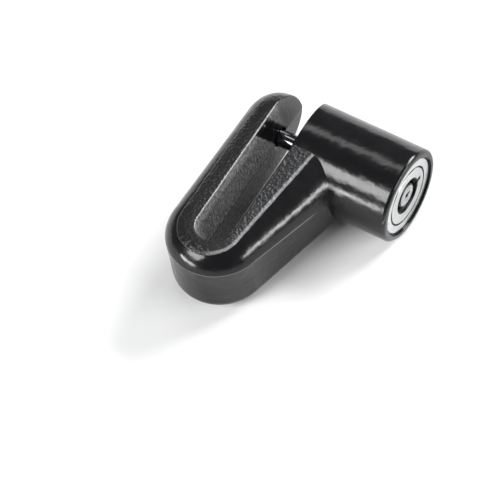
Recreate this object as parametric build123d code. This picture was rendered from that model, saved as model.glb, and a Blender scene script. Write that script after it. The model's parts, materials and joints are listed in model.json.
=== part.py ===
from build123d import *
from math import cos, radians, sin, sqrt, tan
import os

# Disc brake lock, millimetres. +X is the axis of the barrel and locking pin, towards the
# key face. +Y is the length of the body, towards the open end of the disc slot. +Z is up.
# The origin is where the pin axis crosses the middle of the slot. The cylinder is pushed
# in, with the pin across the slot.

# cast body
HALF_THICK = 12.3
LEFT_WALL = 15.1
ROUND_END = (-0.6, -38.6)
ROUND_RADIUS = LEFT_WALL + ROUND_END[0]
ARM_SPREAD = 15.2
ARM_LENGTH = 40.0
WALL_DRAFT = 2.2
ROUND_TOP_DROP = 6.3
ROUND_BASE_FILLET = 4.0
TIP_WALL = 14.5
TIP_FILLET = 9.0
ARM_TOP_DROP = 9.6
ARM_BASE_FILLET = 6.0
TOP_CREASE = 14.0

# slot for the brake disc
SLOT_MIDDLE = 3.55
SLOT_TOP = 5.5
SLOT_BASE = 4.3
SLOT_END = -39.7
SLOT_MOUTH = 20.0
SLOT_EDGE = 0.5

# barrel
BARREL_RADIUS = 14.0
BARREL_END = 38.3
BARREL_START = 3.0
BARREL_RIM = 1.1
BORE_RADIUS = 11.75
BORE_FLOOR = 8.5
BORE_CHAMFER = 0.35

# cylinder that slides in the barrel
TRAVEL = 11.0
FACE = 37.7
SLEEVE_RADIUS = 11.68
SLEEVE_BACK = 14.0
SLEEVE_FLOOR = 17.4
SLEEVE_INNER = 8.95
FACE_EDGE = 0.3

# locking pin
PIN_TIP = -6.6
PIN_RADIUS = 2.5
PIN_COLLAR_RADIUS = 3.1
PIN_CONE = (1.2, 3.0)
PIN_HEAD_RADIUS = 4.6
PIN_HEAD = (15.4, 17.2)
PIN_CLEARANCE = 0.08
RECEIVER_RADIUS = 2.9
RECEIVER_DEPTH = 1.0

# guide pin in the barrel wall, which the sleeve's groove runs along
GUIDE_X = 32.0
GUIDE_RADIUS = 1.25
GUIDE_WALL = 0.45
GUIDE_INNER_END = 10.4
GUIDE_OUTER_END = 13.7
GROOVE_FLOOR = 10.1

# tubular lock
CASE_RADIUS = 8.88
CASE_BACK = 20.5
CASE_BORE = 7.6
LIP_BACK = 36.2
KEYWAY_RADIUS = 5.15
KEYWAY_CHAMFER = 0.45
KEY_NOTCH = (1.5, 1.9)
NOTCH_ANGLE = -88.0
ROTOR_RADIUS = 7.5
ROTOR_FRONT = 36.1
ROTOR_RECESS = 34.2
SHEAR_LINE = 31.0
POST_RADIUS = 3.7
POST_FRONT = 37.45
POST_HOLE = 0.9
SPINDLE_RADIUS = 2.5
SPINDLE_CLEARANCE = 0.05
TAIL_RADIUS = 2.0
TAIL_FLAT = 1.4
TAIL_END = 20.4
CLIP_GROOVE = (22.2, 22.85)
CLIP_RADIUS = 3.9
CLIP_OPENING = 2.4
BLOCK_FRONT = 30.95
BLOCK_BACK = 23.0
CHAMBER_FLOOR = 24.5

# pin stacks
STACKS = 7
STACK_PITCH_RADIUS = 4.42
CHAMBER_RADIUS = 0.66
STACK_RADIUS = 0.6
KEY_CUTS = (1.6, 0.4, 1.2, 0.8, 1.4, 0.6, 1.0)
DRIVER_LENGTH = 2.4
DRIVER_FRONT = 30.9

# cam and latch
CAM_RADIUS = 3.6
CAM = (19.9, 21.6)
CRANK_OFFSET = 1.0
CRANK_RADIUS = 0.8
CRANK_END = 17.9
LATCH = (17.65, 19.65)
LATCH_HALF_WIDTH = 3.0
LATCH_TIP = 11.55
LATCH_TAIL = 5.0
LATCH_THROW = 2 * CRANK_OFFSET * sin(radians(45))
LATCH_GAP = 0.1
YOKE_CLEARANCE = 0.1

# cross pin that holds sleeve, case and pin block together
CROSS_X = 27.0
CROSS_RADIUS = 0.8
CROSS_ENDS = (5.9, 11.4)

# springs: coil radius, wire radius, turns
RETURN_SPRING = (6.6, 0.42, 4.5)
LATCH_SPRING = (0.9, 0.18, 6.0)
STACK_SPRING = (0.42, 0.1, 8.0)


def along_x(radius, start, end, y=0.0, z=0.0):
    """A cylinder parallel to X, from start to end."""
    rod = Cylinder(radius, end - start, align=(Align.CENTER, Align.CENTER, Align.MIN))
    return Pos(start, y, z) * Rot(0, 90, 0) * rod


def block(x, y, z):
    """A box between pairs of limits."""
    size = (x[1] - x[0], y[1] - y[0], z[1] - z[0])
    return Pos((x[0] + x[1]) / 2, (y[0] + y[1]) / 2, (z[0] + z[1]) / 2) * Box(*size)


def spring(coil, start, end):
    """A compression spring along +Z, with its wire inside start and end."""
    coil_radius, wire, turns = coil
    height = end - start - 2 * wire
    path = Helix(pitch=height / turns, height=height, radius=coil_radius)
    section = Plane(path @ 0, z_dir=path % 0) * Circle(wire)
    return Pos(0, 0, start + wire) * sweep(section, path=path)


def stack_places():
    """Y and Z of each pin stack round the axis."""
    places = []
    for index in range(STACKS):
        angle = radians(360 * index / STACKS + 90)
        places.append((STACK_PITCH_RADIUS * cos(angle), STACK_PITCH_RADIUS * sin(angle)))
    return places


def top_arc(width, drop, crease):
    """Arc from the flat top face down to the wall, which it meets at a crease."""
    radius = drop / (1 - sin(radians(crease)))
    centre_u = width - radius * cos(radians(crease))
    half_turn = radians((90 + crease) / 2)
    middle = (centre_u + radius * cos(half_turn), HALF_THICK - radius * (1 - sin(half_turn)))
    return ThreePointArc((centre_u, HALF_THICK), middle, (width, HALF_THICK - drop))


def arm_section(width, top_drop, base_fillet, draft, crease):
    """Half of the body's cross-section: U runs outwards, V up. The wall leans in below."""
    top = top_arc(width, top_drop, crease)
    base_centre = base_fillet - HALF_THICK
    lean = tan(radians(draft)) * ((top @ 1).Y - base_centre)
    centre_u = width - lean - base_fillet / cos(radians(draft))
    wall_base = (
        centre_u + base_fillet * cos(radians(draft)),
        base_centre - base_fillet * sin(radians(draft)),
    )
    half_turn = radians((90 + draft) / 2)
    base_middle = (
        centre_u + base_fillet * sin(half_turn),
        base_centre - base_fillet * cos(half_turn),
    )
    outline = Curve() + [
        Line((0, HALF_THICK), top @ 0),
        top,
        Line(top @ 1, wall_base),
        ThreePointArc(wall_base, base_middle, (centre_u, -HALF_THICK)),
        Line((centre_u, -HALF_THICK), (0, -HALF_THICK)),
        Line((0, -HALF_THICK), (0, HALF_THICK)),
    ]
    return make_face(outline)


def tip_section():
    """Upper half of the left arm's section, which turns about the pin axis."""
    top = top_arc(TIP_WALL, TIP_FILLET, 0)
    outline = Curve() + [
        Line((0, 0), (0, HALF_THICK)),
        Line((0, HALF_THICK), top @ 0),
        top,
        Line(top @ 1, (TIP_WALL, 0)),
        Line((TIP_WALL, 0), (0, 0)),
    ]
    return make_face(outline)


def slot_outline(half_width, height):
    """The slot's outline at one height, round at its closed end."""
    sides = Curve() + [
        Line((-half_width, SLOT_MOUTH), (-half_width, SLOT_END)),
        ThreePointArc((-half_width, SLOT_END), (0, SLOT_END - half_width), (half_width, SLOT_END)),
        Line((half_width, SLOT_END), (half_width, SLOT_MOUTH)),
        Line((half_width, SLOT_MOUTH), (-half_width, SLOT_MOUTH)),
    ]
    return Pos(0, 0, height) * make_face(sides)


def slot_cutter():
    """The disc slot, narrowest at mid-thickness and drafted towards both faces."""
    reach = BARREL_RADIUS + 1
    top = SLOT_MIDDLE + (SLOT_TOP - SLOT_MIDDLE) * reach / HALF_THICK
    base = SLOT_MIDDLE + (SLOT_BASE - SLOT_MIDDLE) * reach / HALF_THICK
    upper = loft([slot_outline(SLOT_MIDDLE, 0), slot_outline(top, reach)], ruled=True)
    lower = loft([slot_outline(base, -reach), slot_outline(SLOT_MIDDLE, 0)], ruled=True)
    return upper + lower


def cast_outer():
    """The body's outer form: round end, two arms and the left arm's half-round tip."""
    centre_x, centre_y = ROUND_END
    spread = radians(ARM_SPREAD)
    outward = Vector(cos(spread), -sin(spread), 0)
    forward = Vector(sin(spread), cos(spread), 0)
    centre = Vector(centre_x, centre_y, 0)
    arm_end = centre + forward * ARM_LENGTH

    end_section = arm_section(ROUND_RADIUS, ROUND_TOP_DROP, ROUND_BASE_FILLET, WALL_DRAFT, TOP_CREASE)
    turned_section = Plane(centre, x_dir=(1, 0, 0), z_dir=(0, -1, 0)) * end_section
    round_end = revolve(turned_section, axis=Axis(centre, (0, 0, 1)), revolution_arc=360)

    right_end = arm_section(ROUND_RADIUS, ARM_TOP_DROP, ARM_BASE_FILLET, WALL_DRAFT, TOP_CREASE)
    right_planes = [Plane(place, x_dir=outward, z_dir=-forward) for place in (centre, arm_end)]
    right_arm = loft([right_planes[0] * end_section, right_planes[1] * right_end], ruled=True)

    left_end = arm_section(TIP_WALL, TIP_FILLET, TIP_FILLET, 0, 0)
    left_planes = [
        Plane((centre_x, centre_y, 0), x_dir=(-1, 0, 0), z_dir=(0, 1, 0)),
        Plane((0, 0, 0), x_dir=(-1, 0, 0), z_dir=(0, 1, 0)),
    ]
    left_arm = loft([left_planes[0] * end_section, left_planes[1] * left_end], ruled=True)
    tip = revolve(left_planes[1] * tip_section(), axis=Axis.X, revolution_arc=-180)

    middle = Polygon((centre_x, centre_y), (arm_end.X, arm_end.Y), (0, 0), align=None)
    filler = extrude(Pos(0, 0, -HALF_THICK) * middle, amount=2 * HALF_THICK)
    return round_end + right_arm + left_arm + tip + filler


def latch_pocket(centre_x):
    """Pocket in the barrel's bore that the latch springs into."""
    near = SLEEVE_RADIUS - 1.5
    far = LATCH_TIP + LATCH_THROW + LATCH_GAP
    half_x = (LATCH[1] - LATCH[0]) / 2 + LATCH_GAP
    half_z = LATCH_HALF_WIDTH + LATCH_GAP
    return block((centre_x - half_x, centre_x + half_x), (-far, -near), (-half_z, half_z))


def make_lock_body():
    """The die-cast body: U-shaped, with the barrel across its right arm."""
    casting = cast_outer() - slot_cutter()
    rim_edges = casting.edges().filter_by(lambda edge: abs(abs(edge.center().Z) - HALF_THICK) < 1e-3)
    slot_edges = rim_edges.filter_by(lambda edge: abs(edge.center().X) < SLOT_TOP + 0.1)
    slot_edges = slot_edges.filter_by(lambda edge: edge.center().Y < -1)
    slot_edges = slot_edges.filter_by(lambda edge: edge.center().Y > SLOT_END - SLOT_TOP - 0.1)
    casting = fillet(slot_edges, SLOT_EDGE)
    barrel = along_x(BARREL_RADIUS, BARREL_START, BARREL_END)
    outer_rim = barrel.edges().filter_by(GeomType.CIRCLE).sort_by(Axis.X)[-1]
    barrel = fillet(outer_rim, BARREL_RIM) - slot_cutter()
    casting = casting + barrel
    bore = along_x(BORE_RADIUS, BORE_FLOOR, BARREL_END + 1)
    mouth = along_x(BORE_RADIUS + BORE_CHAMFER, BARREL_END - BORE_CHAMFER, BARREL_END + 1)
    pin_hole = along_x(PIN_COLLAR_RADIUS + PIN_CLEARANCE, 0, BORE_FLOOR + 1)
    receiver = along_x(RECEIVER_RADIUS, PIN_TIP - RECEIVER_DEPTH, 0)
    guide_hole = Pos(GUIDE_X, 0, -BARREL_RADIUS - 1) * Cylinder(
        GUIDE_RADIUS, 5, align=(Align.CENTER, Align.CENTER, Align.MIN)
    )
    latch_centre = (LATCH[0] + LATCH[1]) / 2
    casting = casting - bore - mouth - pin_hole - receiver - guide_hole
    return casting - latch_pocket(latch_centre) - latch_pocket(latch_centre + TRAVEL)


def make_guide_pin():
    """Slotted spring pin, driven up through the barrel's underside."""
    length = GUIDE_OUTER_END - GUIDE_INNER_END
    base = (Align.CENTER, Align.CENTER, Align.MIN)
    tube = Cylinder(GUIDE_RADIUS, length, align=base)
    tube = tube - Cylinder(GUIDE_RADIUS - GUIDE_WALL, length, align=base)
    tube = tube - block((0, 2 * GUIDE_RADIUS), (-0.25, 0.25), (0, length))
    return Pos(GUIDE_X, 0, -GUIDE_OUTER_END) * tube


def make_cylinder_sleeve():
    """The silver sleeve that slides in the barrel and carries pin, latch and tubular lock."""
    sleeve = along_x(SLEEVE_RADIUS, SLEEVE_BACK, FACE)
    sleeve = chamfer(sleeve.edges().filter_by(GeomType.CIRCLE).sort_by(Axis.X)[-1], FACE_EDGE)
    sleeve = sleeve - along_x(SLEEVE_INNER, SLEEVE_FLOOR, FACE + 1)
    sleeve = sleeve - along_x(PIN_COLLAR_RADIUS, SLEEVE_BACK - 1, SLEEVE_FLOOR)
    sleeve = sleeve - along_x(PIN_HEAD_RADIUS, PIN_HEAD[0], SLEEVE_FLOOR)
    window_x = (LATCH[0] - LATCH_GAP, LATCH[1] + LATCH_GAP)
    window_z = LATCH_HALF_WIDTH + LATCH_GAP
    sleeve = sleeve - block(window_x, (-SLEEVE_RADIUS - 1, -5), (-window_z, window_z))
    groove_x = (GUIDE_X - TRAVEL - GUIDE_RADIUS - LATCH_GAP, GUIDE_X + GUIDE_RADIUS + LATCH_GAP)
    groove_y = GUIDE_RADIUS + LATCH_GAP
    sleeve = sleeve - block(groove_x, (-groove_y, groove_y), (-SLEEVE_RADIUS - 1, -GROOVE_FLOOR))
    return sleeve - cross_hole()


def make_locking_pin():
    """Hardened pin: domed tip, shank, cone, collar and head."""
    shank = along_x(PIN_RADIUS, PIN_TIP, PIN_CONE[0])
    shank = chamfer(shank.edges().filter_by(GeomType.CIRCLE).sort_by(Axis.X)[0], 0.7)
    cone_length = PIN_CONE[1] - PIN_CONE[0]
    cone = Cone(PIN_RADIUS, PIN_COLLAR_RADIUS, cone_length, align=(Align.CENTER, Align.CENTER, Align.MIN))
    collar = along_x(PIN_COLLAR_RADIUS, PIN_CONE[1], PIN_HEAD[0])
    head = along_x(PIN_HEAD_RADIUS, *PIN_HEAD)
    return shank + Pos(PIN_CONE[0], 0, 0) * Rot(0, 90, 0) * cone + collar + head


def make_return_spring():
    """Spring round the pin that pushes the cylinder out when the latch lets go."""
    return Rot(0, 90, 0) * spring(RETURN_SPRING, BORE_FLOOR, SLEEVE_BACK)


def cross_hole():
    """Hole that the cross pin fills, up through block, case and sleeve."""
    height = CROSS_ENDS[1] - CROSS_ENDS[0]
    rod = Cylinder(CROSS_RADIUS, height + 1, align=(Align.CENTER, Align.CENTER, Align.MIN))
    return Pos(CROSS_X, 0, CROSS_ENDS[0]) * rod


def make_cross_pin():
    """Pin that holds sleeve, case and pin block together."""
    height = CROSS_ENDS[1] - CROSS_ENDS[0]
    rod = Cylinder(CROSS_RADIUS, height, align=(Align.CENTER, Align.CENTER, Align.MIN))
    rod = chamfer(rod.edges().filter_by(GeomType.CIRCLE), 0.15)
    return Pos(CROSS_X, 0, CROSS_ENDS[0]) * rod


def make_lock_case():
    """Case of the tubular lock: its lip is the inner silver ring with the key notch."""
    case = along_x(CASE_RADIUS, CASE_BACK, FACE)
    case = chamfer(case.edges().filter_by(GeomType.CIRCLE).sort_by(Axis.X)[-1], FACE_EDGE)
    case = case - along_x(CASE_BORE, CASE_BACK - 1, LIP_BACK)
    case = case - along_x(KEYWAY_RADIUS, LIP_BACK - 1, FACE + 1)
    cone = Cone(KEYWAY_RADIUS, KEYWAY_RADIUS + KEYWAY_CHAMFER, KEYWAY_CHAMFER)
    case = case - Pos(FACE - KEYWAY_CHAMFER / 2, 0, 0) * Rot(0, 90, 0) * cone
    half_width = KEY_NOTCH[0] / 2
    reach = KEYWAY_RADIUS + KEY_NOTCH[1]
    notch = block((LIP_BACK - 1, FACE + 1), (-half_width, half_width), (0, reach))
    return case - Rot(NOTCH_ANGLE, 0, 0) * notch - cross_hole()


def make_rotor():
    """The turning part: centre post, ring of pin holes, spindle and flatted tail."""
    drum = along_x(ROTOR_RADIUS, SHEAR_LINE, ROTOR_FRONT)
    recess = along_x(KEYWAY_RADIUS, ROTOR_RECESS, ROTOR_FRONT + 1)
    post = along_x(POST_RADIUS, ROTOR_RECESS - 1, POST_FRONT)
    post = chamfer(post.edges().filter_by(GeomType.CIRCLE).sort_by(Axis.X)[-1], FACE_EDGE)
    rotor = drum - recess + post
    rotor = rotor + along_x(SPINDLE_RADIUS, CLIP_GROOVE[1], SHEAR_LINE)
    tail = along_x(TAIL_RADIUS, TAIL_END, CLIP_GROOVE[1])
    flat = block((TAIL_END, CLIP_GROOVE[0]), (TAIL_FLAT, TAIL_RADIUS), (-TAIL_RADIUS, TAIL_RADIUS))
    rotor = rotor + (tail - flat)
    for y, z in stack_places():
        rotor = rotor - along_x(CHAMBER_RADIUS, SHEAR_LINE - 1, ROTOR_RECESS + 0.5, y, z)
    post_hole = along_x(POST_HOLE, POST_FRONT - 2.5, POST_FRONT + 1)
    post_notch = block((POST_FRONT - 0.8, POST_FRONT + 1), (-0.4, 0.4), (0, 2 * POST_HOLE))
    return rotor - post_hole - Rot(NOTCH_ANGLE, 0, 0) * post_notch


def make_pin_block():
    """Fixed block behind the rotor that holds the drivers and their springs."""
    body = along_x(ROTOR_RADIUS, BLOCK_BACK, BLOCK_FRONT)
    body = body - along_x(SPINDLE_RADIUS + SPINDLE_CLEARANCE, BLOCK_BACK - 1, BLOCK_FRONT + 1)
    for y, z in stack_places():
        body = body - along_x(CHAMBER_RADIUS, CHAMBER_FLOOR, BLOCK_FRONT + 1, y, z)
    return body - cross_hole()


def make_key_pin(index):
    """Key pin: rounded front end flush in the keyway, shorter by its key cut."""
    y, z = stack_places()[index]
    pin = along_x(STACK_RADIUS, SHEAR_LINE + KEY_CUTS[index], ROTOR_RECESS, y, z)
    return chamfer(pin.edges().filter_by(GeomType.CIRCLE), 0.15)


def make_driver_pin(index):
    """Driver pin behind the shear line."""
    y, z = stack_places()[index]
    pin = along_x(STACK_RADIUS, DRIVER_FRONT - DRIVER_LENGTH, DRIVER_FRONT, y, z)
    return chamfer(pin.edges().filter_by(GeomType.CIRCLE), 0.15)


def make_stack_springs():
    """One small spring behind each driver."""
    coil = Rot(0, 90, 0) * spring(STACK_SPRING, CHAMBER_FLOOR, DRIVER_FRONT - DRIVER_LENGTH)
    return Compound([Pos(0, y, z) * coil.solid() for y, z in stack_places()])


def make_retaining_clip():
    """Spring clip in the spindle's groove, behind the pin block."""
    clip = along_x(CLIP_RADIUS, CLIP_GROOVE[0] + 0.05, CLIP_GROOVE[1] - 0.05)
    clip = clip - along_x(TAIL_RADIUS, CLIP_GROOVE[0] - 1, CLIP_GROOVE[1] + 1)
    half = CLIP_OPENING / 2
    return clip - block((CLIP_GROOVE[0], CLIP_GROOVE[1]), (-half, half), (-CLIP_RADIUS - 1, 0))


def make_cam():
    """Disc on the spindle's tail, with a crank pin that moves the latch."""
    disc = along_x(CAM_RADIUS, *CAM)
    socket = along_x(TAIL_RADIUS, TAIL_END, CAM[1] + 1)
    flat = block((TAIL_END - 1, CAM[1] + 2), (TAIL_FLAT, TAIL_RADIUS + 1), (-3, 3))
    offset = CRANK_OFFSET * cos(radians(45))
    crank = along_x(CRANK_RADIUS, CRANK_END, CAM[0], offset, offset)
    return disc - (socket - flat) + crank


def make_latch():
    """Flat bolt across the sleeve, with a yoke slot round the crank pin."""
    half = LATCH_HALF_WIDTH
    plate = block(LATCH, (-LATCH_TIP, LATCH_TAIL), (-half, half))
    plate = plate & along_x(LATCH_TIP, *LATCH)
    offset = CRANK_OFFSET * cos(radians(45))
    yoke_y = (offset - CRANK_RADIUS - YOKE_CLEARANCE, offset + CRANK_RADIUS + YOKE_CLEARANCE)
    yoke_z = (offset - CRANK_RADIUS - 0.4, CRANK_OFFSET + CRANK_RADIUS + YOKE_CLEARANCE)
    return plate - block((LATCH[0] - 1, LATCH[1] + 1), yoke_y, yoke_z)


def make_latch_spring():
    """Spring that pushes the latch outwards, against the sleeve's inner wall."""
    wall = sqrt(SLEEVE_INNER**2 - (LATCH_SPRING[0] + LATCH_SPRING[1]) ** 2)
    middle_x = (LATCH[0] + LATCH[1]) / 2
    return Pos(middle_x, 0, 0) * Rot(-90, 0, 0) * spring(LATCH_SPRING, LATCH_TAIL, wall)


parts = {
    "lock_body": make_lock_body(),
    "guide_pin": make_guide_pin(),
    "return_spring": make_return_spring(),
    "cylinder_sleeve": make_cylinder_sleeve(),
    "locking_pin": make_locking_pin(),
    "cross_pin": make_cross_pin(),
    "lock_case": make_lock_case(),
    "rotor": make_rotor(),
    "pin_block": make_pin_block(),
    "stack_springs": make_stack_springs(),
    "retaining_clip": make_retaining_clip(),
    "cam": make_cam(),
    "latch": make_latch(),
    "latch_spring": make_latch_spring(),
}
for number in range(STACKS):
    parts[f"key_pin_{number + 1}"] = make_key_pin(number)
    parts[f"driver_pin_{number + 1}"] = make_driver_pin(number)

os.makedirs("parts", exist_ok=True)
for name, shape in parts.items():
    export_step(shape, f"parts/{name}.step")
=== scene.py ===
"""Looks of the disc brake lock: materials, floor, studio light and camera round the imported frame.

X runs along the barrel to the key face, -Y along both arms to the slot's closed end, and Z through
the slot up to the pebbled faces. Inside the materials all lengths are millimetres of the frame.
"""
import json
from functools import reduce
from math import cos, pi, radians, sin

import bpy
from mathutils import Matrix, Vector


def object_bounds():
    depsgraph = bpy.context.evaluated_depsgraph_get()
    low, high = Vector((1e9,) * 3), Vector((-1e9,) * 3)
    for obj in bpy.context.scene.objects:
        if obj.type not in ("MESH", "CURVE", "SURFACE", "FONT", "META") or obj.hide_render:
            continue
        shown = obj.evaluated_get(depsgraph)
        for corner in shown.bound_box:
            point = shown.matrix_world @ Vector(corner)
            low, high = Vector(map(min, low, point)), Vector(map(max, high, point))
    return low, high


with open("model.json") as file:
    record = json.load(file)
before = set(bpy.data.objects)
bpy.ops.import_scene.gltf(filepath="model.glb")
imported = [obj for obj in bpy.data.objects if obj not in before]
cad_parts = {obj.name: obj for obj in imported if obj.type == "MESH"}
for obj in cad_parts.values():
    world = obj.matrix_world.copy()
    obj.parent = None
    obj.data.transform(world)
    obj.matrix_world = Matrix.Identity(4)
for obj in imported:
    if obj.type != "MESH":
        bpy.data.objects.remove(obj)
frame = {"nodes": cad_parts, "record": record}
cad_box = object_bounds()
NODES = frame["nodes"]
MM = 0.001

# camera at the photograph's viewing angle
AZIMUTH = radians(38.2)
ELEVATION = radians(57.5)
ROLL = radians(-8.5)
LOOK_AT = Vector((2.07, -28.5, -15.1)) * MM
CAMERA_DISTANCE = 1.5
VIEW_WIDTH = 140.4 * MM
SENSOR_WIDTH = 36.0
CLIP_START = 0.01
CLIP_END = 50

# softboxes: direction from the object, then distance, width and height in metres, and radiance
SOFTBOXES = {
    "front_softbox": ((-0.33, -0.69, 0.64), 1.2, 0.48, 0.46, 19.0),
    "right_softbox": ((0.93, 0.24, 0.30), 1.2, 0.90, 0.17, 27.0),
    "low_front_strip": ((-0.47, -0.87, 0.10), 1.2, 0.62, 0.16, 34.0),
    "back_top_strip": ((-0.33, 0.36, 0.87), 1.3, 0.60, 0.22, 5.0),
    "rear_softbox": ((0.26, 0.79, 0.55), 1.3, 0.75, 0.50, 25.0),
}
WORLD_COLOUR = (0.93, 0.95, 1.0, 1)
WORLD_STRENGTH = 0.18

# floor
FLOOR_HALF_WIDTH = 6.0
FLOOR_GAP = 0.02 * MM
FLOOR_GREY = (0.72, 0.72, 0.72)
FLOOR_ROUGHNESS = 0.9
FLOOR_SPECULAR = 0.1

# Soft edges below are pairs: the mask is 0 at the first place and 1 at the second. They are in
# millimetres, or shares of the surface's normal where the name says tilt.

# pebbled faces: a circle round the closed end and a straight side on each arm
PEBBLE_MIDDLE_X = -1.1
PEBBLE_MIDDLE_Y = -40.0
PEBBLE_RADIUS = 9.5
PEBBLE_LEAN = radians(7.1)
PEBBLE_JOIN = 1.0
PEBBLE_WANDER = 0.5
PEBBLE_EDGE = (0.15, -0.15)
PEBBLE_TILT = (0.70, 0.78)
UNDER_BARREL_TOP = (12.8, 12.6)
BARREL_RADIUS = 14.0
OFF_BARREL_SKIN = (0.04, 0.10)
LEFT_OF_BARREL = (3.1, 2.9)
RIGHT_ARM = (-2.0, 6.0)

# painted highlight: a pale strip along the pebbled face's edge, and a pale line on the crease below it
STRIP_EDGE = (-1.05, -0.65)
STRIP_ALONG_X = (0.0, 6.0)
CREASE_LOW_TILT = (0.232, 0.245)
CREASE_HIGH_TILT = (0.305, 0.275)
CREASE_SLANT = -0.5
CREASE_ALONG_Y = (-28.0, -31.0)
CREASE_STRENGTH = 0.8

# slot
SLOT_REACH = 5.75
SLOT_END = -39.7
WALL_EDGE = 0.1
WALL_TILT = (0.8, 0.9)
END_EDGE = 0.3
END_TOP = (12.0, 11.6)
TIP_ALONG_Y = (1.0, 3.5)
TIP_SMOOTHNESS = 0.7
GRAIN_ALONG_Y = (-2.5, -3.5)
PARTING_HEIGHT = (0.32, 0.12)

# painted reflection of the dark pin: a smooth patch on the left wall beside the pin, painted near-black
PATCH_MIDDLE = 0.7
PATCH_SLANT = 0.56
PATCH_EDGE = (3.9, 2.7)
PATCH_FOOT = (-4.2, -2.4)
LEFT_WALL = (0.5, -0.5)

# painted highlight along the rim of the slot's left side
RIM_OUTER_REACH = 0.4
RIM_INNER_REACH = 0.3
RIM_HEIGHT = (11.6, 11.8)
RIM_TILT = (0.35, 0.55)
RIM_LEFT = (2.0, -2.0)
RIM_SHORT_OF_TIP = (3.5, 0.5)
RIM_ROUGHNESS = 0.28

# relief of the paint, in millimetres
SWELL_DEPTH = 0.25
PEEL_DEPTH = 0.09
FINE_PEEL_DEPTH = 0.020
GRAIN_DEPTH = 0.45
PEBBLE_DEPTH_RIGHT = 0.34
PEBBLE_DEPTH_LEFT = 0.24
PEBBLE_DEPTH_LEFT_TIP = 0.10
LEFT_DEPTH_ALONG_Y = (-20.0, 4.0)
ROUND_END_ALONG_Y = (-34.0, -44.0)
ROUND_END_DEPTH_SHARE = 0.65

# colours of the paint
GLOSS_BLACK = (0.0045, 0.0045, 0.005)
# painted light: the right arm's pebbled face is painted lighter than the left's, standing in for light
# falling on it
PEBBLE_BLACK_LEFT = (0.010, 0.010, 0.0105)
PEBBLE_BLACK_RIGHT_PAINTED_LIGHT = (0.016, 0.016, 0.017)
# painted highlight: pale grey standing in for light caught along the right arm's pebbled edge
STRIP_HIGHLIGHT_GREY = (0.16, 0.16, 0.162)
# painted highlight: pale line along the shoulder's crease
CREASE_HIGHLIGHT_GREY = (0.10, 0.10, 0.10)
SLOT_DARK = (0.050, 0.050, 0.051)
SLOT_LIGHT = (0.175, 0.175, 0.178)
TIP_GREY = (0.065, 0.065, 0.066)
PARTING_GREY = (0.02, 0.02, 0.02)
# painted reflection: near-black where the dark pin is mirrored in the glossy wall
PIN_REFLECTION_BLACK = (0.006, 0.006, 0.006)
# painted highlight: pale grey along the slot's left rim
RIM_HIGHLIGHT_GREY = (0.14, 0.14, 0.14)
PAINT_SPECULAR = 0.30
RIM_SPECULAR = 1.0

# lock face
CASE_RADIUS = 8.9
GAP_UNEVENNESS = 0.14
GAP_EDGE = (0.27, 0.19)
GAP_BLACK = (0.01, 0.01, 0.01)
KEYWAY_EDGE = 5.62
KEYWAY_SOFTNESS = 0.05
KEYWAY_FRONT = (37.0, 37.1)
STAINED_SHARE = 0.82
SCORED_SHARE = 0.62
POST_FRONT = (37.05, 37.15)
POST_RADIUS = (3.35, 3.15)
POST_BRIGHT = (0.46, 0.47, 0.48)
POST_STAINED = (0.33, 0.33, 0.34)
# painted shade: near-black core standing in for the shade deep in the keyway
KEYWAY_SHADE_DARK = (0.035, 0.033, 0.03)
PIN_CHROME = (0.11, 0.11, 0.115)


# ---------------------------------------------------------------- camera, light, floor


def make_camera():
    """Long lens at the photograph's viewing angle, with its roll."""
    right = Vector((cos(AZIMUTH), sin(AZIMUTH), 0))
    back = Vector((sin(AZIMUTH) * cos(ELEVATION), -cos(AZIMUTH) * cos(ELEVATION), sin(ELEVATION)))
    up = back.cross(right)
    rolled_right = right * cos(ROLL) + up * sin(ROLL)
    rolled_up = up * cos(ROLL) - right * sin(ROLL)
    camera = bpy.data.objects.new("camera", bpy.data.cameras.new("camera"))
    turn = Matrix((rolled_right, rolled_up, back)).transposed().to_4x4()
    camera.matrix_world = Matrix.Translation(LOOK_AT + back * CAMERA_DISTANCE) @ turn
    camera.data.sensor_width = SENSOR_WIDTH
    camera.data.lens = SENSOR_WIDTH * CAMERA_DISTANCE / VIEW_WIDTH
    camera.data.clip_start = CLIP_START
    camera.data.clip_end = CLIP_END
    bpy.context.scene.collection.objects.link(camera)
    bpy.context.scene.camera = camera


def softbox(name, direction, distance, width, height, radiance):
    """A rectangular light that faces the object from a direction."""
    light = bpy.data.lights.new(name, "AREA")
    light.shape = "RECTANGLE"
    light.size = width
    light.size_y = height
    light.energy = radiance * pi * width * height
    lamp = bpy.data.objects.new(name, light)
    away = Vector(direction).normalized()
    middle = (cad_box[0] + cad_box[1]) / 2
    turn = away.to_track_quat("Z", "Y").to_matrix().to_4x4()
    lamp.matrix_world = Matrix.Translation(middle + away * distance) @ turn
    bpy.context.scene.collection.objects.link(lamp)


def make_lights():
    for name, settings in SOFTBOXES.items():
        softbox(name, *settings)
    world = bpy.data.worlds.new("studio")
    world.use_nodes = True
    sky = world.node_tree.nodes["Background"]
    sky.inputs["Color"].default_value = WORLD_COLOUR
    sky.inputs["Strength"].default_value = WORLD_STRENGTH
    bpy.context.scene.world = world


def make_floor():
    """Plain pale floor just under the barrel."""
    height = cad_box[0].z - FLOOR_GAP
    square = [(-1, -1), (1, -1), (1, 1), (-1, 1)]
    corners = [(x * FLOOR_HALF_WIDTH, y * FLOOR_HALF_WIDTH, height) for x, y in square]
    mesh = bpy.data.meshes.new("floor")
    mesh.from_pydata(corners, [], [(0, 1, 2, 3)])
    floor = bpy.data.objects.new("floor", mesh)
    bpy.context.scene.collection.objects.link(floor)
    paper = Material("floor_paper")
    paper.shade(FLOOR_GREY, FLOOR_ROUGHNESS, specular=FLOOR_SPECULAR)
    floor.data.materials.append(paper.data)


# ---------------------------------------------------------------- building materials


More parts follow.
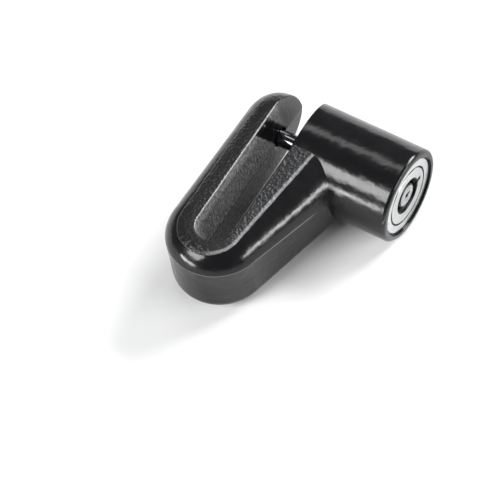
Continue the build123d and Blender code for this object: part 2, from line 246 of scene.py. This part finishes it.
class Material:
    """A node material with short ways to add the nodes used here."""

    def __init__(self, name):
        self.data = bpy.data.materials.new(name)
        self.data.use_nodes = True
        self.nodes = self.data.node_tree.nodes
        self.links = self.data.node_tree.links
        self.surface = self.nodes["Principled BSDF"]
        place = self.nodes.new("ShaderNodeTexCoord")
        self.place = self.scaled(place.outputs["Object"], (1 / MM, 1 / MM, 1 / MM))
        self.x, self.y, self.z = self.split(self.place)

    def put(self, socket, value):
        """Links a socket to another, or sets its value."""
        if isinstance(value, bpy.types.NodeSocket):
            self.links.new(value, socket)
        elif hasattr(value, "__len__") and len(value) == 3 and socket.type == "RGBA":
            socket.default_value = (*value, 1)
        else:
            socket.default_value = value

    def math(self, operation, first, second=0.0):
        node = self.nodes.new("ShaderNodeMath")
        node.operation = operation
        self.put(node.inputs[0], first)
        self.put(node.inputs[1], second)
        return node.outputs[0]

    def add(self, first, second):
        return self.math("ADD", first, second)

    def less(self, first, second):
        return self.math("SUBTRACT", first, second)

    def times(self, *factors):
        return reduce(lambda product, factor: self.math("MULTIPLY", product, factor), factors)

    def larger(self, first, second):
        return self.math("MAXIMUM", first, second)

    def size(self, value):
        """A number without its sign."""
        return self.math("ABSOLUTE", value)

    def radius(self, first, second):
        squares = self.add(self.times(first, first), self.times(second, second))
        return self.math("SQRT", squares)

    def scaled(self, vector, factors):
        """A vector with each axis multiplied by its own factor."""
        node = self.nodes.new("ShaderNodeVectorMath")
        node.operation = "MULTIPLY"
        self.put(node.inputs[0], vector)
        self.put(node.inputs[1], factors)
        return node.outputs["Vector"]

    def split(self, vector):
        node = self.nodes.new("ShaderNodeSeparateXYZ")
        self.put(node.inputs[0], vector)
        return node.outputs

    def join(self, x, y, z):
        node = self.nodes.new("ShaderNodeCombineXYZ")
        for socket, value in zip(node.inputs, (x, y, z)):
            self.put(socket, value)
        return node.outputs[0]

    def ramp(self, value, zero_at, one_at):
        """A soft step from 0 to 1; either end may be the larger one."""
        node = self.nodes.new("ShaderNodeMapRange")
        node.interpolation_type = "SMOOTHSTEP"
        falling = zero_at > one_at
        self.put(node.inputs["Value"], value)
        self.put(node.inputs["From Min"], min(zero_at, one_at))
        self.put(node.inputs["From Max"], max(zero_at, one_at))
        self.put(node.inputs["To Min"], 1.0 if falling else 0.0)
        self.put(node.inputs["To Max"], 0.0 if falling else 1.0)
        return node.outputs["Result"]

    def noise(self, cells_per_mm, detail=2.0, rough=0.5, place=None):
        node = self.nodes.new("ShaderNodeTexNoise")
        self.put(node.inputs["Vector"], place or self.place)
        self.put(node.inputs["Scale"], cells_per_mm)
        self.put(node.inputs["Detail"], detail)
        self.put(node.inputs["Roughness"], rough)
        return node.outputs["Fac"]

    def bubbles(self, cells_per_mm, smoothness=0.6):
        """Rounded cells, 0 at their middles."""
        node = self.nodes.new("ShaderNodeTexVoronoi")
        node.feature = "SMOOTH_F1"
        self.put(node.inputs["Vector"], self.place)
        self.put(node.inputs["Scale"], cells_per_mm)
        self.put(node.inputs["Smoothness"], smoothness)
        return node.outputs["Distance"]

    def mix(self, factor, first, second):
        """First where the factor is 0, second where it is 1; numbers or colours."""
        node = self.nodes.new("ShaderNodeMix")
        colour = any(hasattr(end, "__len__") or getattr(end, "type", "") == "RGBA" for end in (first, second))
        node.data_type = "RGBA" if colour else "FLOAT"
        kind = "RGBA" if colour else "VALUE"
        self.put(node.inputs["Factor"], factor)
        ends = [socket for socket in node.inputs if socket.name in ("A", "B") and socket.type == kind]
        self.put(ends[0], first)
        self.put(ends[1], second)
        return [socket for socket in node.outputs if socket.type == kind][0]

    def bump(self, height, depth_mm, normal=None):
        """Relief whose height of 1 is depth_mm deep, on top of another normal."""
        node = self.nodes.new("ShaderNodeBump")
        self.put(node.inputs["Height"], height)
        self.put(node.inputs["Distance"], depth_mm * MM)
        if normal is not None:
            self.put(node.inputs["Normal"], normal)
        return node.outputs["Normal"]

    def facing(self):
        """X, Y and Z of the surface's own normal."""
        return self.split(self.nodes.new("ShaderNodeNewGeometry").outputs["Normal"])

    def shade(self, colour, roughness, metallic=0.0, normal=None, specular=0.5):
        self.put(self.surface.inputs["Base Color"], colour)
        self.put(self.surface.inputs["Roughness"], roughness)
        self.put(self.surface.inputs["Metallic"], metallic)
        self.put(self.surface.inputs["Specular IOR Level"], specular)
        if normal is not None:
            self.put(self.surface.inputs["Normal"], normal)


# ---------------------------------------------------------------- zones of the casting


def pebble_outline(paint):
    """Distance outside the pebbled face, seen from above."""
    from_x = paint.less(paint.x, PEBBLE_MIDDLE_X)
    from_y = paint.less(paint.y, PEBBLE_MIDDLE_Y)
    round_end = paint.less(paint.radius(from_x, from_y), PEBBLE_RADIUS)
    leaning = paint.add(paint.times(from_x, cos(PEBBLE_LEAN)), paint.times(from_y, -sin(PEBBLE_LEAN)))
    right = paint.less(leaning, PEBBLE_RADIUS)
    left = paint.less(PEBBLE_MIDDLE_X - PEBBLE_RADIUS, paint.x)
    on_arms = paint.ramp(paint.y, PEBBLE_MIDDLE_Y - PEBBLE_JOIN, PEBBLE_MIDDLE_Y + PEBBLE_JOIN)
    return paint.mix(on_arms, round_end, paint.larger(right, left))


def off_barrel_zone(paint):
    """Everything but the barrel's round surface."""
    off_skin = paint.size(paint.less(paint.radius(paint.y, paint.z), BARREL_RADIUS))
    return paint.larger(paint.ramp(off_skin, *OFF_BARREL_SKIN), paint.ramp(paint.x, *LEFT_OF_BARREL))


def crease_zone(paint, facing_z, off_barrel):
    """Thin painted highlight line where the right shoulder turns into the side wall."""
    slanted = paint.add(paint.y, paint.times(paint.x, CREASE_SLANT))
    low = paint.ramp(facing_z, *CREASE_LOW_TILT)
    high = paint.ramp(facing_z, *CREASE_HIGH_TILT)
    return paint.times(low, high, paint.times(off_barrel, paint.ramp(slanted, *CREASE_ALONG_Y)))


def slot_zone(paint, facing_x, height):
    """The slot's two flat walls and its round end."""
    beside = paint.ramp(paint.size(paint.x), SLOT_REACH, SLOT_REACH - WALL_EDGE)
    walls = paint.times(beside, paint.ramp(paint.size(facing_x), *WALL_TILT))
    from_end = paint.radius(paint.x, paint.less(paint.y, SLOT_END))
    end = paint.times(paint.ramp(from_end, SLOT_REACH + END_EDGE, SLOT_REACH), paint.ramp(height, *END_TOP))
    return paint.larger(walls, end)


def pin_reflection_zone(paint, wander):
    """Painted reflection of the pin: a smooth patch on the left wall beside the pin, slanting up the wall,
    with soft uneven edges.
    """
    along = paint.add(paint.y, paint.times(paint.larger(paint.z, 0.0), PATCH_SLANT))
    from_pin = paint.size(paint.less(along, PATCH_MIDDLE))
    patch = paint.ramp(paint.add(from_pin, wander), *PATCH_EDGE)
    return paint.times(patch, paint.ramp(paint.z, *PATCH_FOOT), paint.ramp(paint.x, *LEFT_WALL))


def rim_highlight_zone(paint, facing_x, height):
    """Painted highlight along the edge where the slot's left wall meets the face, short of the tip."""
    near_slot = paint.ramp(paint.size(paint.x), SLOT_REACH + RIM_OUTER_REACH, SLOT_REACH + RIM_INNER_REACH)
    rim = paint.times(near_slot, paint.ramp(height, *RIM_HEIGHT))
    left = paint.times(paint.ramp(paint.x, *RIM_LEFT), paint.ramp(paint.y, *RIM_SHORT_OF_TIP))
    return paint.times(paint.ramp(paint.size(facing_x), *RIM_TILT), rim, left)


def parting_zone(paint, facing_x, height):
    """Parting line of the mould, at mid-thickness of the slot's walls."""
    walls = paint.times(paint.ramp(paint.size(facing_x), *WALL_TILT), paint.ramp(paint.y, *GRAIN_ALONG_Y))
    return paint.times(paint.ramp(height, *PARTING_HEIGHT), walls)


# ---------------------------------------------------------------- materials


def pebble_relief(paint, right_arm):
    """Pebbles, deepest on the right arm and shallower towards the left tip and the round end."""
    pebbles = paint.add(paint.bubbles(1.1), paint.times(paint.noise(2.6, 3), 0.7))
    along_left = paint.ramp(paint.y, *LEFT_DEPTH_ALONG_Y)
    left_depth = paint.mix(along_left, PEBBLE_DEPTH_LEFT, PEBBLE_DEPTH_LEFT_TIP)
    round_end = paint.ramp(paint.y, *ROUND_END_ALONG_Y)
    depth = paint.mix(right_arm, left_depth, PEBBLE_DEPTH_RIGHT)
    return pebbles, paint.times(depth, paint.mix(round_end, 1.0, ROUND_END_DEPTH_SHARE))


def body_paint():
    """Gloss black paint on a die casting, with pebbled satin faces and satin slot walls."""
    paint = Material("body_paint")
    facing_x, _, facing_z = paint.facing()
    height = paint.size(paint.z)
    wander = paint.less(paint.noise(0.5, 3), 0.5)
    right_arm = paint.ramp(paint.x, *RIGHT_ARM)

    outside = paint.add(pebble_outline(paint), paint.times(wander, PEBBLE_WANDER))
    off_barrel = off_barrel_zone(paint)
    upright = paint.ramp(paint.size(facing_z), *PEBBLE_TILT)
    under_top = paint.ramp(height, *UNDER_BARREL_TOP)
    face = paint.times(paint.ramp(outside, *PEBBLE_EDGE), upright, under_top, off_barrel)
    strip = paint.times(paint.ramp(outside, *STRIP_EDGE), face, paint.ramp(paint.x, *STRIP_ALONG_X))
    crease = crease_zone(paint, facing_z, off_barrel)
    slot = slot_zone(paint, facing_x, height)
    by_pin = pin_reflection_zone(paint, wander)
    tip = paint.ramp(paint.y, *TIP_ALONG_Y)
    rim = rim_highlight_zone(paint, facing_x, height)
    parting = parting_zone(paint, facing_x, height)

    pebbles, pebble_depth = pebble_relief(paint, right_arm)
    grain = paint.noise(1.6, 4, 0.7, paint.scaled(paint.place, (1.0, 1.0, 0.45)))
    smooth_slot = paint.larger(by_pin, paint.times(tip, TIP_SMOOTHNESS))
    rough_slot = paint.times(slot, paint.less(1.0, smooth_slot))
    normal = paint.bump(paint.noise(0.09, 1.0), SWELL_DEPTH)
    normal = paint.bump(paint.noise(0.35, 1.0, 0.4), PEEL_DEPTH, normal)
    normal = paint.bump(paint.noise(1.1, 1.0), FINE_PEEL_DEPTH, normal)
    normal = paint.bump(paint.times(pebbles, face, pebble_depth), 1.0, normal)
    normal = paint.bump(paint.times(grain, rough_slot), GRAIN_DEPTH, normal)

    smudge = paint.ramp(paint.noise(0.22, 4, 0.6), 0.35, 0.75)
    roughness = paint.mix(face, paint.mix(smudge, 0.17, 0.24), paint.mix(right_arm, 0.24, 0.22))
    roughness = paint.mix(slot, roughness, paint.mix(by_pin, 0.42, 0.10))
    roughness = paint.mix(rim, roughness, RIM_ROUGHNESS)

    slot_grey = paint.mix(paint.ramp(grain, 0.35, 0.65), SLOT_DARK, SLOT_LIGHT)
    slot_grey = paint.mix(tip, slot_grey, TIP_GREY)
    slot_grey = paint.mix(parting, slot_grey, PARTING_GREY)
    # the right arm's pebbles are painted lighter than the left's: painted light
    colour = paint.mix(face, GLOSS_BLACK, paint.mix(right_arm, PEBBLE_BLACK_LEFT, PEBBLE_BLACK_RIGHT_PAINTED_LIGHT))
    # beside the pin the wall is smoother and painted near-black: a painted reflection of the pin
    colour = paint.mix(slot, colour, paint.mix(by_pin, slot_grey, PIN_REFLECTION_BLACK))
    # painted highlight: pale strip along the right arm's pebbled edge
    colour = paint.mix(strip, colour, STRIP_HIGHLIGHT_GREY)
    # painted highlight: pale line along the right shoulder's crease
    colour = paint.mix(paint.times(crease, CREASE_STRENGTH), colour, CREASE_HIGHLIGHT_GREY)
    # painted highlight along the slot's left rim
    colour = paint.mix(rim, colour, RIM_HIGHLIGHT_GREY)
    paint.shade(colour, roughness, normal=normal, specular=paint.mix(rim, PAINT_SPECULAR, RIM_SPECULAR))
    return paint.data


def dark_gaps(metal, radius):
    """The unlit gap between the two rings of the face, and the keyway."""
    uneven = metal.times(metal.ramp(metal.noise(0.3, 2), 0.3, 0.7), GAP_UNEVENNESS)
    from_gap = metal.size(metal.less(radius, CASE_RADIUS))
    gap = metal.ramp(metal.less(from_gap, uneven), *GAP_EDGE)
    inside = metal.ramp(radius, KEYWAY_EDGE, KEYWAY_EDGE - KEYWAY_SOFTNESS)
    return metal.larger(gap, metal.times(inside, metal.ramp(metal.x, *KEYWAY_FRONT)))


def turned_metal(name, colour, roughness, rings_per_mm=7.0, ring_depth=0.004, lock_face=False):
    """Metal faced on a lathe: fine rings round the X axis, with slight stains."""
    metal = Material(name)
    radius = metal.radius(metal.y, metal.z)
    along = metal.join(metal.times(radius, rings_per_mm), metal.times(metal.x, rings_per_mm), 0.0)
    rings = metal.noise(1.0, 3, 0.65, along)
    grain = metal.noise(6.0, 2)
    stain = metal.ramp(metal.noise(0.25, 5, 0.6), 0.35, 0.75)
    normal = metal.bump(grain, ring_depth * 0.5, metal.bump(rings, ring_depth))
    stained, scored = (tuple(part * share for part in colour) for share in (STAINED_SHARE, SCORED_SHARE))
    tone = metal.mix(stain, colour, stained)
    tone = metal.mix(metal.ramp(rings, 0.55, 0.75), tone, scored)
    if lock_face:
        tone = metal.mix(dark_gaps(metal, radius), tone, GAP_BLACK)
    metal.shade(tone, metal.add(metal.times(rings, 0.14), roughness - 0.07), metallic=1.0, normal=normal)
    return metal.data


def chrome():
    """Polished hardened steel of the locking pin."""
    metal = Material("pin_chrome")
    lines = metal.noise(1.0, 3, 0.6, metal.join(metal.times(metal.x, 0.6), metal.y, metal.z))
    metal.shade(PIN_CHROME, metal.mix(lines, 0.05, 0.12), metallic=1.0, normal=metal.bump(lines, 0.01))
    return metal.data


def rotor_steel():
    """Bright turned post; the rest of the core is painted near-black as painted shade in the deep keyway."""
    metal = Material("core_steel")
    radius = metal.radius(metal.y, metal.z)
    rings = metal.noise(1.0, 3, 0.65, metal.join(metal.times(radius, 7.0), 0.0, 0.0))
    stain = metal.ramp(metal.noise(0.9, 4, 0.6), 0.40, 0.65)
    front = metal.times(metal.ramp(metal.x, *POST_FRONT), metal.ramp(radius, *POST_RADIUS))
    # painted shade: all but the post's front is near-black for the deep keyway
    colour = metal.mix(front, KEYWAY_SHADE_DARK, metal.mix(stain, POST_BRIGHT, POST_STAINED))
    roughness = metal.mix(rings, 0.36, 0.52)
    metal.shade(colour, roughness, metallic=1.0, normal=metal.bump(rings, 0.006))
    return metal.data


def drawn_metal(name, colour, dark, roughness, cells_per_mm):
    """Drawn wire: uneven tone and fine grain."""
    metal = Material(name)
    tone = metal.ramp(metal.noise(cells_per_mm, 4, 0.6), 0.3, 0.7)
    grain = metal.noise(cells_per_mm * 8, 2)
    metal.shade(
        metal.mix(tone, colour, dark),
        metal.mix(grain, roughness * 0.8, roughness * 1.3),
        metallic=1.0,
        normal=metal.bump(grain, 0.006),
    )
    return metal.data


def paint_nodes():
    """Gives every node of the frame the material of its slot."""
    looks = {
        "body_paint": body_paint(),
        "face_silver": turned_metal("face_silver", (0.60, 0.615, 0.615), 0.30, lock_face=True),
        "case_silver": turned_metal("case_silver", (0.56, 0.575, 0.575), 0.33, 9.0, lock_face=True),
        "pin_chrome": chrome(),
        "core_steel": rotor_steel(),
        "spring_steel": drawn_metal("spring_steel", (0.50, 0.50, 0.52), (0.30, 0.30, 0.31), 0.28, 0.8),
        "lock_brass": turned_metal("lock_brass", (0.78, 0.60, 0.30), 0.30),
        "stack_brass": turned_metal("stack_brass", (0.80, 0.62, 0.30), 0.22, 12.0),
    }
    slots = {part["node"]: part["material_slot"] for part in frame["record"]["subparts"]}
    for name, node in NODES.items():
        node.data.materials.clear()
        node.data.materials.append(looks[slots[name]])


make_camera()
make_lights()
make_floor()
paint_nodes()
bpy.context.scene.view_settings.view_transform = "Standard"
